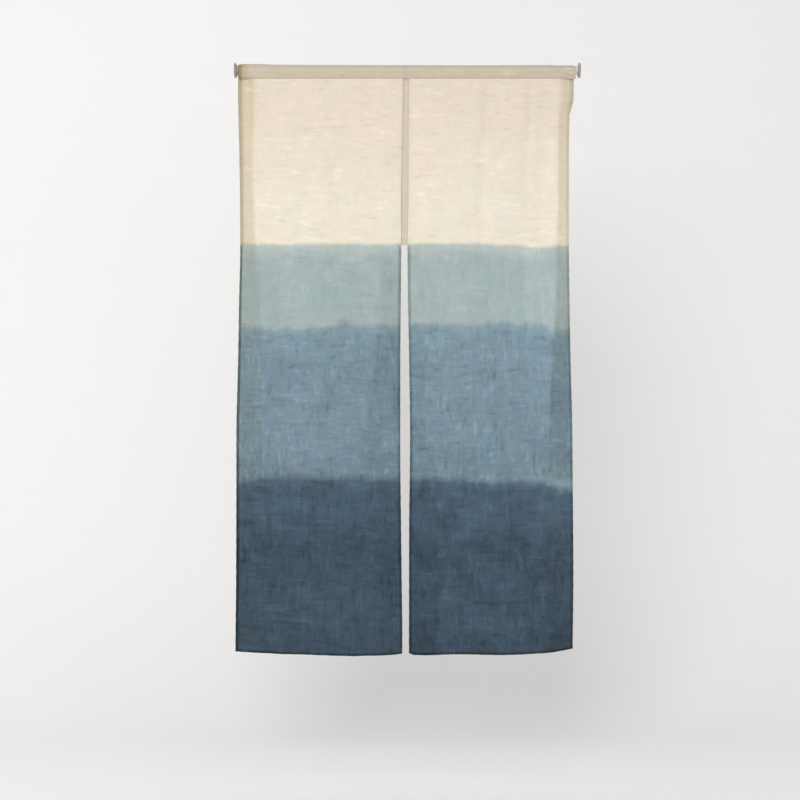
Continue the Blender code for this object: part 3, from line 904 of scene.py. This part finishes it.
def finish_cloth(tree, surface, glow, colour, weft, warp):
    """The weave's relief on both shaders, and the cloth's colour, made lighter or darker by its weave and by
    the tone kept at its points, which is mostly painted shade and light, and tinted by the painted warm
    reflected light kept there."""
    weave = use_group(tree, slub_weave, Cloth=recalled(tree, "cloth", "Vector"), Weft=weft, Warp=warp)
    normal = relief(tree, weave.outputs["Height"], WEAVE_STRENGTH, WEAVE_DEPTH)
    reflected_warmth = recalled(tree, "reflected_warmth")
    warmer = tinted(tree, colour, reflected_warmth * WARM_RED + 1.0, reflected_warmth * WARM_BLUE + 1.0)
    final = scaled(tree, warmer, recalled(tree, "tone") + weave.outputs["Tone"] + 1.0)
    put(tree, surface.inputs["Base Color"], final)
    put(tree, glow.inputs["Color"], final)
    put(tree, surface.inputs["Normal"], normal)
    put(tree, glow.inputs["Normal"], normal)


UNDYED_TOP = (0.835, 0.735, 0.600, 1.0)
UNDYED = (0.832, 0.768, 0.634, 1.0)
UNDYED_FROM = 0.11
UNDYED_TO = 0.33
PANEL_SHEER = 0.16
FIRST_DIP = (0.402, 0.484, 0.474, 1.0)
SECOND_DIP = (0.213, 0.304, 0.358, 1.0)
THIRD_DIP = (0.0632, 0.100, 0.1405, 1.0)

slub_weave = build_slub_weave()
dip_dye = build_dip_dye()


def dyed_linen(name):
    material, tree, surface, glow = cloth_material(name, PANEL_SHEER)
    cloth = recalled(tree, "cloth", "Vector")
    down = parted(tree, cloth)[1]
    lower = ((down - UNDYED_FROM) * (1.0 / (UNDYED_TO - UNDYED_FROM))).between(0.0, 1.0)
    undyed = mixed(tree, lower, UNDYED_TOP, UNDYED)
    dye = use_group(tree, dip_dye, Cloth=cloth, Dips=recalled(tree, "dips", "Vector"), Undyed=undyed,
                    First=FIRST_DIP, Second=SECOND_DIP, Third=THIRD_DIP)
    masks = [Value(tree, dye.outputs[mask]) for mask in ("Dyed", "Deep", "Deepest")]
    weft, warp = with_dips(UNDYED_WEFT, masks, "weft"), with_dips(UNDYED_WARP, masks, "warp")
    finish_cloth(tree, surface, glow, dye.outputs["Color"], weft, warp)
    return material


panel_linen = dyed_linen("dip_dyed_slub_linen")
panels = {}
for name, side, sections, hem, folds, dips, patches, shades in (
    ("panel_left", -1, LEFT_SECTIONS, LEFT_HEM, LEFT_FOLDS, LEFT_DIPS, LEFT_DYE_AND_SHADE_PATCHES, LEFT_SHADES),
    ("panel_right", 1, RIGHT_SECTIONS, RIGHT_HEM, RIGHT_FOLDS, RIGHT_DIPS, RIGHT_DYE_AND_SHADE_PATCHES, RIGHT_SHADES),
):
    panel = make_panel(name + "_cloth", side, sections, hem, folds, dips, patches, shades)
    panel[0].data.materials.append(panel_linen)
    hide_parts(name)
    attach(panel[0], "root")
    panels[name] = panel

# The joining strip. A tape of the same linen, folded double lengthwise, lies behind the hems at the slit and
# is sewn to both of them, from the casing's seam down to the first line of the dye.
STRIP_WIDTH = 0.026
STRIP_THICKNESS = 0.0015
STRIP_WALL = 0.0006
STRIP_BEHIND = 0.0027
STRIP_TOP = 0.0160
STRIP_DROP = 0.441
STRIP_ROWS = 90
STRIP_SIDE_STEPS = 14
STRIP_EASE = 0.00012
STRIP_EASE_PITCH = 0.037
RIB_TONE = 0.02
RIB_PITCH = 0.0021
# A darker beige than the panels' undyed linen: painted shade, as the doubled strip lets less light through
# and lies in the shadow behind the hems.
STRIP_SHADED_BEIGE = (0.669, 0.583, 0.466)


def cloth_tube(name, outer, inner, facts):
    """Cloth that is doubled into a flat or round tube with open ends: stations of loops, outer and inner,
    both running the same way, with the end edges closed."""
    stations, around = outer.shape[:2]
    points = np.concatenate((outer.reshape(-1, 3), inner.reshape(-1, 3)))
    far = stations * around
    station, step = np.meshgrid(np.arange(stations - 1), np.arange(around), indexing="ij")
    beside = (step + 1) % around
    a, b = (station * around + step).ravel(), (station * around + beside).ravel()
    skin = np.stack((a, b, b + around, a + around), axis=-1)
    lining = far + skin[:, ::-1]
    here = np.arange(around)
    after = (here + 1) % around
    last = (stations - 1) * around
    start = np.stack((far + here, far + after, after, here), axis=-1)
    end = np.stack((last + here, last + after, far + last + after, far + last + here), axis=-1)
    facts = {fact: np.tile(values.reshape(far, -1), (2, 1)) for fact, values in facts.items()}
    piece = cloth_piece(name, points, np.concatenate((skin, lining, start, end)), facts)
    piece.data.set_sharp_from_angle(angle=math.radians(60))
    return piece


def flat_loop(half_width, half_thickness):
    """Once round a flat tube seen end on, as across and depth: front face, rounded fold, back face, fold."""
    straight = half_width - half_thickness
    half = [(x, -half_thickness) for x in np.linspace(-straight, straight, STRIP_SIDE_STEPS + 1)]
    for angle in np.radians((-45, 0, 45)):
        half.append((straight + half_thickness * math.cos(angle), half_thickness * math.sin(angle)))
    return np.array(half + [(-x, -y) for x, y in half])


def make_strip():
    drop = np.linspace(STRIP_TOP, STRIP_DROP, STRIP_ROWS)
    from_left, from_right = curved(LEFT_SECTIONS, drop, "inner"), curved(RIGHT_SECTIONS, drop, "inner")
    centre = MIDDLE + (from_right - from_left) / 2
    middle_y = STRIP_BEHIND + STRIP_THICKNESS / 2
    loops = []
    for half_width, half_thickness in (
        (STRIP_WIDTH / 2, STRIP_THICKNESS / 2),
        (STRIP_WIDTH / 2 - STRIP_WALL, STRIP_THICKNESS / 2 - STRIP_WALL),
    ):
        loop = flat_loop(half_width, half_thickness)
        x = centre[:, None] + loop[None, :, 0]
        ease = STRIP_EASE * np.sin(2 * math.pi * drop / STRIP_EASE_PITCH)[:, None]
        ease = ease * np.sin(180 * loop[None, :, 0])
        y = middle_y + loop[None, :, 1] + ease
        z = np.broadcast_to(-drop[:, None], x.shape)
        loops.append(np.stack((x, y, z), axis=-1))
    across = loops[0][..., 0] - MIDDLE
    facts = {
        "cloth": np.stack((across + 3.0, -loops[0][..., 2], np.zeros_like(across)), axis=-1),
        "tone": RIB_TONE * np.sin(2 * math.pi * across / RIB_PITCH),
    }
    return cloth_tube("joining_strip_cloth", loops[0], loops[1], facts)


def plain_linen(name, colour, weft, warp, sheer):
    material, tree, surface, glow = cloth_material(name, sheer)
    finish_cloth(tree, surface, glow, colour, weft, warp)
    return material


strip = make_strip()
strip.data.materials.append(plain_linen("strip_linen", STRIP_SHADED_BEIGE, weft=0.045, warp=0.035, sheer=0.08))
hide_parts("joining_strip")
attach(strip, "root")

# The casing. A band of doubled linen stands above the panels like a narrow eye round the rod. One seam along
# its lower edge sews its two layers to the tops of the panels and the strip. Its ends are hemmed and open.
ROD_RADIUS = 0.008
CASING_LEFT = -0.4285
CASING_RIGHT = 0.4260
CASING_LAYER = 0.0012
CASING_WALL = 0.0007
FLANGE = 0.0025
GATHER_AT = 0.4145
GATHER_REACH = 0.007
GATHER_RIDGE = -0.0081
GATHER_PITCH = 0.0118
GATHER_HEIGHT = 0.0006
# Painted highlights and shade in bands along the gathers at the right end.
GATHER_HIGHLIGHT_AND_SHADE = 0.13
# The left end: painted shade on its doubled end hem, and a painted shadow over its last few centimetres,
# tinted by painted warm reflected light.
END_PAINTED_SHADE = -0.28
END_HEM = 0.010
WARM_END_PAINTED_SHADOW = -0.20
WARM_END = 0.024
END_WARMTH = 2.3
# Painted shade where the strip's extra layers lie behind the sheer casing.
OVER_STRIP_PAINTED_SHADE = -0.035
OVER_STRIP = 0.0085
STRIP_MIDDLE = -0.0035
RIGHT_TONE = -0.015
RIGHT_FROM = 0.352
# Painted shadow along the casing's seam above its flange, and painted shade along its crest, deeper towards
# the right.
SEAM_PAINTED_SHADOW = -0.10
SEAM_SHADE = 0.0015
CREST_PAINTED_SHADE = -0.12
CREST_RIGHT_PAINTED_SHADE = -0.10
CREST_SHADE = 0.0034
INNER_FLANGE = 0.0004
SLACK = 0.00016
SLACK_PITCH = 0.041
FINE_SLACK = 0.00010
FINE_SLACK_PITCH = 0.017
CASING_STATIONS = 260
CASING_AROUND = 72
CASING_ARC_STEPS = 16
# A darker beige than the panels' undyed linen: painted shade, as the doubled casing lets less light through.
HEADING_SHADED_BEIGE = (0.580, 0.498, 0.390)

CASING_SECTIONS = table(
    "along crest tip",
    (CASING_LEFT, 0.0140, 0.0160),
    (-0.4230, 0.0155, CASING_DROP),
    (-0.4140, 0.0168, CASING_DROP),
    (-0.3800, 0.0166, CASING_DROP),
    (-0.3350, 0.0152, CASING_DROP),
    (-0.1500, 0.0141, CASING_DROP),
    (0.0000, 0.0137, CASING_DROP),
    (0.2200, 0.0134, CASING_DROP),
    (0.3550, 0.0138, CASING_DROP),
    (0.3800, 0.0130, CASING_DROP),
    (0.4140, 0.0129, CASING_DROP),
    (0.4210, 0.0116, CASING_DROP),
    (CASING_RIGHT, 0.0114, CASING_DROP),
)


def eye_profile(radius, crest, flange_top, flange_half, tip):
    """The back half of the casing seen end on, top to bottom: a tangent from the crest onto a circle round
    the rod, the arc, a tangent down to the flange, and the flange."""
    top_angle = math.acos(radius / crest)
    reach = math.hypot(flange_half, flange_top)
    low_angle = math.pi - math.acos(radius / reach) - math.atan2(flange_half, flange_top)
    profile = [(0.0, crest)]
    for step in range(CASING_ARC_STEPS + 1):
        angle = top_angle + (low_angle - top_angle) * step / CASING_ARC_STEPS
        profile.append((radius * math.sin(angle), radius * math.cos(angle)))
    profile.append((flange_half, -flange_top))
    if tip > flange_top:
        profile.append((flange_half, -tip))
    return profile


def even_loop(half):
    """A half profile and its mirror image as one loop of even steps, with its corners softened."""
    whole = half + [(-y, z) for y, z in reversed(half) if y > 0]
    corners = np.array(whole + whole[:1])
    run = np.concatenate(([0.0], np.cumsum(np.linalg.norm(np.diff(corners, axis=0), axis=1))))
    places = np.linspace(0.0, run[-1], CASING_AROUND, endpoint=False)
    loop = np.stack([np.interp(places, run, corners[:, axis]) for axis in (0, 1)], axis=-1)
    return (np.roll(loop, 1, axis=0) + 2 * loop + np.roll(loop, -1, axis=0)) / 4


def casing_stations():
    """Stations along the casing, closer together towards its two ends."""
    share = np.linspace(-1.0, 1.0, CASING_STATIONS)
    eased = 0.6 * share + 0.4 * np.sin(share * math.pi / 2)
    return CASING_LEFT + (CASING_RIGHT - CASING_LEFT) * (eased + 1) / 2


def make_casing():
    along = casing_stations()
    crest, tip = curved(CASING_SECTIONS, along, "crest"), curved(CASING_SECTIONS, along, "tip")
    outer, inner, tones, warmths = [], [], [], []
    outer_radius = ROD_RADIUS + GAP + CASING_LAYER
    for x, top, bottom in zip(along, crest, tip):
        flange_top = bottom - FLANGE
        outside = even_loop(eye_profile(outer_radius, top, flange_top, CASING_LAYER, bottom))
        inner_radius, inner_top = outer_radius - CASING_WALL, top - 1.2 * CASING_WALL
        inner_tip = flange_top - INNER_FLANGE
        inside = even_loop(eye_profile(inner_radius, inner_top, inner_tip, INNER_FLANGE, inner_tip))
        slack = SLACK * math.sin(2 * math.pi * x / SLACK_PITCH + 2 * math.sin(13 * x))
        slack += FINE_SLACK * math.sin(2 * math.pi * x / FINE_SLACK_PITCH + 3 * math.sin(29 * x))
        height = outside[:, 1]
        gather = math.exp(-(((x - GATHER_AT) / GATHER_REACH) ** 2))
        gather = gather * np.cos(2 * math.pi * (height - GATHER_RIDGE) / GATHER_PITCH)
        body = smooth((height + flange_top) / 0.004) * smooth((top - height) / 0.002)
        front = np.where(outside[:, 0] < 0, 1.0, 0.7)
        ease = (GATHER_HEIGHT * gather + slack * np.sin(240 * height + 40 * x)) * body * front
        away = outside / np.linalg.norm(outside, axis=1, keepdims=True)
        outside = outside + away * ease[:, None]
        outer.append([(MIDDLE + x, y, z) for y, z in outside])
        inner.append([(MIDDLE + x, y, z) for y, z in inside])
        # The tone: painted shade and shadow at the left end, where painted warm reflected light also tints
        # it, painted shade over the strip, along the seam and the crest, a little darker towards the right
        # end, and painted highlights and shade on the gathers.
        from_left = x - CASING_LEFT
        reflected_warmth = smooth((WARM_END - from_left) / 0.020 + 0.5)
        tone = END_PAINTED_SHADE * smooth((END_HEM - from_left) / 0.006 + 0.5) + WARM_END_PAINTED_SHADOW * reflected_warmth
        tone += OVER_STRIP_PAINTED_SHADE * smooth((OVER_STRIP - abs(x - STRIP_MIDDLE)) / 0.003)
        tone += RIGHT_TONE * smooth((x - RIGHT_FROM) / 0.004)
        seam = SEAM_PAINTED_SHADOW * np.exp(-(((height + inner_tip) / SEAM_SHADE) ** 2))
        ridge = CREST_PAINTED_SHADE + CREST_RIGHT_PAINTED_SHADE * smooth((x - 0.10) / 0.25)
        ridge = ridge * smooth((height - top + CREST_SHADE) / 0.0022)
        tones.append(tone + seam + ridge + GATHER_HIGHLIGHT_AND_SHADE * gather)
        warmths.append(np.full_like(height, END_WARMTH * reflected_warmth))
    outer, inner = np.array(outer), np.array(inner)
    around = np.broadcast_to(np.arange(CASING_AROUND) * 0.00105, outer.shape[:2])
    facts = {
        "cloth": np.stack((outer[..., 0] + 5.0, around, np.zeros_like(around)), axis=-1),
        "tone": np.array(tones),
        "reflected_warmth": np.array(warmths),
    }
    return cloth_tube("heading_cloth", outer, inner, facts)


casing = make_casing()
casing_linen = plain_linen("casing_linen", HEADING_SHADED_BEIGE, weft=0.105, warp=0.035, sheer=0.05)
casing.data.materials.append(casing_linen)
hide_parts("heading")
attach(casing, "root")

# The stitching. Cotton thread in short even stitches holds every hem and the casing's seam, and took the dye
# with the cloth. Each run shows on the front and on the back. The hems' seams also catch the strip.
STITCH_PITCH = 0.0040
STITCH_LENGTH = 0.0030
THREAD_RADIUS = 0.00028
THREAD_SIDES = 4
SEAM_ABOVE_TIP = 0.0019
SEAM_DEPTH = 0.0011
SEAM_STARTS = 0.004
SEAM_STOPS = 0.003
THREAD_DIVE = -0.6
THREAD_RISE = 0.35
THREAD_TIP = 0.55
THREAD_BEND = 0.28
CASING_THREAD_TONE = -0.10
PANEL_THREAD_TONE = 0.10


def seam_samples(points, normals, facts):
    """Even places along a seam, with the way it runs, the way it faces, and what the cloth keeps there."""
    run = np.concatenate(([0.0], np.cumsum(np.linalg.norm(np.diff(points, axis=0), axis=1))))
    middles = np.arange(STITCH_PITCH, run[-1] - STITCH_PITCH / 2, STITCH_PITCH)

    def at(values, places):
        return np.stack([np.interp(places, run, column) for column in values.T], axis=-1)

    start, end = at(points, middles - STITCH_LENGTH / 2), at(points, middles + STITCH_LENGTH / 2)
    kept = {fact: at(values.reshape(len(points), -1), middles) for fact, values in facts.items()}
    return start, end, at(points, middles), at(normals, middles), kept


def stitches(name, seams, material, brighten):
    """One mesh of all the stitches of some seams. Each is a short thread whose ends dive into the cloth."""
    sides = range(THREAD_SIDES)
    shape = []
    for ring in range(3):
        for side in sides:
            a, b = ring * THREAD_SIDES + side, ring * THREAD_SIDES + (side + 1) % THREAD_SIDES
            shape.append((a, b, b + THREAD_SIDES, a + THREAD_SIDES))
    shape += [tuple(reversed(sides)), tuple(3 * THREAD_SIDES + side for side in sides)]
    per_stitch = 4 * THREAD_SIDES
    all_points, all_faces, all_facts = [], [], {}
    base = 0
    for points, normals, facts in seams:
        start, end, middle, facing, kept = seam_samples(points, normals, facts)
        runs = end - start
        runs /= np.linalg.norm(runs, axis=1, keepdims=True)
        sideways = np.cross(runs, facing)
        sideways /= np.linalg.norm(sideways, axis=1, keepdims=True)
        bend = runs * STITCH_LENGTH * THREAD_BEND
        corners = []
        for centre, lift, radius in (
            (start, THREAD_DIVE, THREAD_TIP),
            (middle - bend, THREAD_RISE, 1.0),
            (middle + bend, THREAD_RISE, 1.0),
            (end, THREAD_DIVE, THREAD_TIP),
        ):
            core = centre + facing * lift * THREAD_RADIUS
            for side in sides:
                angle = 2 * math.pi * (side + 0.5) / THREAD_SIDES
                arm = sideways * math.cos(angle) + facing * math.sin(angle)
                corners.append(core + arm * radius * THREAD_RADIUS)
        all_points.append(np.stack(corners, axis=1).reshape(-1, 3))
        firsts = base + np.arange(len(start)) * per_stitch
        all_faces.append((firsts[:, None, None] + np.array(shape)).reshape(-1, 4))
        base += len(start) * per_stitch
        for fact, values in kept.items():
            all_facts.setdefault(fact, []).append(np.repeat(values, per_stitch, axis=0))
    facts = {fact: np.concatenate(values) for fact, values in all_facts.items()}
    facts["tone"][:] = brighten
    thread = cloth_piece(name, np.concatenate(all_points), np.concatenate(all_faces), facts)
    thread.data.materials.append(material)
    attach(thread, "root")
    return thread


def panel_seams(panel):
    """Both side hems and the bottom hem of a panel, on its front and its back."""
    _, front, normals, thickness, facts = panel
    seam_column = HEM_COLUMNS.index(SEAM_INSET)
    seam_row = BODY_ROWS + HEM_ROWS.index(0.0025)
    start_row = int(BODY_ROWS * 0.012)
    back = front - normals * thickness[..., None]
    seams = []
    for surface, facing in ((front, normals), (back, -normals)):
        for column in (seam_column, front.shape[1] - 1 - seam_column):
            rows = slice(start_row, seam_row + 1)
            kept = {fact: values[rows, column] for fact, values in facts.items()}
            seams.append((surface[rows, column], facing[rows, column], kept))
        columns = slice(seam_column, front.shape[1] - seam_column)
        kept = {fact: values[seam_row, columns] for fact, values in facts.items()}
        seams.append((surface[seam_row, columns], facing[seam_row, columns], kept))
    return seams


def casing_seam():
    """The seam just under the line where the casing's layers part."""
    along = np.linspace(CASING_LEFT + SEAM_STARTS, CASING_RIGHT - SEAM_STOPS, 400)
    height = SEAM_ABOVE_TIP - curved(CASING_SECTIONS, along, "tip")
    seams = []
    for facing in (-1.0, 1.0):
        depth = np.full_like(along, facing * SEAM_DEPTH)
        points = np.stack((MIDDLE + along, depth, height), axis=-1)
        normals = np.broadcast_to((0.0, facing, 0.0), points.shape)
        seams.append((points, normals, {"cloth": points, "tone": np.zeros_like(along)}))
    return seams


casing_thread = stitches(
    "heading_stitching", casing_seam(), casing_linen, CASING_THREAD_TONE
)

for name, panel in panels.items():
    thread = stitches(name + "_stitching", panel_seams(panel), panel_linen, PANEL_THREAD_TONE)

# The rod. A plain steel tube with satin white enamel, 16 mm thick, with a spring inside that pushes it longer
# and so holds it up. Only its ends show, between the casing and the feet.
ROD_SIDES = 64
ROD_EDGE = 0.0006
FOOT_THICKNESS = 0.006
ROD_WHITE = (0.80, 0.79, 0.76)


def turned(name, profile, sides):
    """A turned piece about the rod's axis, from pairs of place along it and radius, closed at both ends."""
    points, rings, faces = [], [], []
    for x, radius in profile:
        if radius == 0:
            rings.append([len(points)])
            points.append((x, 0.0, 0.0))
            continue
        rings.append(list(range(len(points), len(points) + sides)))
        for side in range(sides):
            angle = 2 * math.pi * side / sides
            points.append((x, radius * math.cos(angle), radius * math.sin(angle)))
    for first, second in zip(rings, rings[1:]):
        for side in range(sides):
            beside = (side + 1) % sides
            if len(first) == 1:
                faces.append((first[0], second[beside], second[side]))
            elif len(second) == 1:
                faces.append((first[side], first[beside], second[0]))
            else:
                faces.append((first[side], first[beside], second[beside], second[side]))
    piece = shaped(name, points, faces)
    piece.data.set_sharp_from_angle(angle=math.radians(38))
    return piece


def rounded_steps(profile, radius, steps=4):
    """A profile whose inner corners are rounded off."""
    done = [profile[0]]
    for before, corner, after in zip(profile, profile[1:], profile[2:]):
        into, out = Vector(corner) - Vector(before), Vector(after) - Vector(corner)
        cut = min(radius, into.length / 2, out.length / 2)
        start, end = Vector(corner) - into.normalized() * cut, Vector(corner) + out.normalized() * cut
        for step in range(steps + 1):
            t = step / steps
            point = start * (1 - t) ** 2 + Vector(corner) * 2 * t * (1 - t) + end * t * t
            done.append(tuple(point))
    done.append(profile[-1])
    return done


def hard_material(name, colour, roughness, grain, depth):
    """Enamel or rubber with a faint grain in its sheen and its surface."""
    material, tree, surface = new_material(name)
    noise = tree.nodes.new("ShaderNodeTexNoise")
    noise.inputs["Scale"].default_value = grain
    noise.inputs["Detail"].default_value = 4.0
    put(tree, noise.inputs["Vector"], tree.nodes.new("ShaderNodeTexCoord").outputs["Object"])
    fleck = Value(tree, noise.outputs["Fac"])
    put(tree, surface.inputs["Roughness"], fleck * 0.16 + (roughness - 0.08))
    put(tree, surface.inputs["Base Color"], scaled(tree, colour, fleck * 0.10 + 0.95))
    put(tree, surface.inputs["Normal"], relief(tree, fleck, 0.4, depth))
    return material


rod_start, rod_end = FOOT_THICKNESS + GAP, ROD_SPAN - FOOT_THICKNESS - GAP
rod_outline = [(rod_start, 0.0), (rod_start, ROD_RADIUS), (rod_end, ROD_RADIUS), (rod_end, 0.0)]
rod = turned("rod_bar", rounded_steps(rod_outline, ROD_EDGE), ROD_SIDES)
rod_enamel = hard_material("satin_enamel", ROD_WHITE, roughness=0.38, grain=900.0, depth=0.00005)
rod.data.materials.append(rod_enamel)
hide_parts("rod")
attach(rod, "root")

# The rod's feet. A grey rubber pad is pushed over each end of the rod: a flat disc that grips what it presses
# on, with a shallow groove round its rim, and a cone down to the rod.
FOOT_RADIUS = 0.0185
FOOT_NECK_RADIUS = 0.012
FOOT_RIM = 0.0035
FOOT_EDGE = 0.0007
FOOT_GROOVE = 0.0005
FOOT_GREY = (0.33, 0.315, 0.27)

foot_rubber = hard_material("grey_rubber", FOOT_GREY, roughness=0.72, grain=1400.0, depth=0.00008)
for name, face, inward in (("foot_left", 0.0, 1), ("foot_right", ROD_SPAN, -1)):
    outline = [
        (0.0, 0.0),
        (0.0, FOOT_RADIUS),
        (FOOT_RIM * 0.36, FOOT_RADIUS),
        (FOOT_RIM * 0.44, FOOT_RADIUS - FOOT_GROOVE),
        (FOOT_RIM * 0.60, FOOT_RADIUS - FOOT_GROOVE),
        (FOOT_RIM * 0.68, FOOT_RADIUS),
        (FOOT_RIM, FOOT_RADIUS),
        (FOOT_THICKNESS, FOOT_NECK_RADIUS),
        (FOOT_THICKNESS, 0.0),
    ]
    profile = [(face + inward * along, radius) for along, radius in rounded_steps(outline, FOOT_EDGE)]
    if inward < 0:
        profile.reverse()
    foot = turned(name + "_pad", profile, ROD_SIDES)
    foot.data.materials.append(foot_rubber)
    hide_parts(name)
    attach(foot, "root")
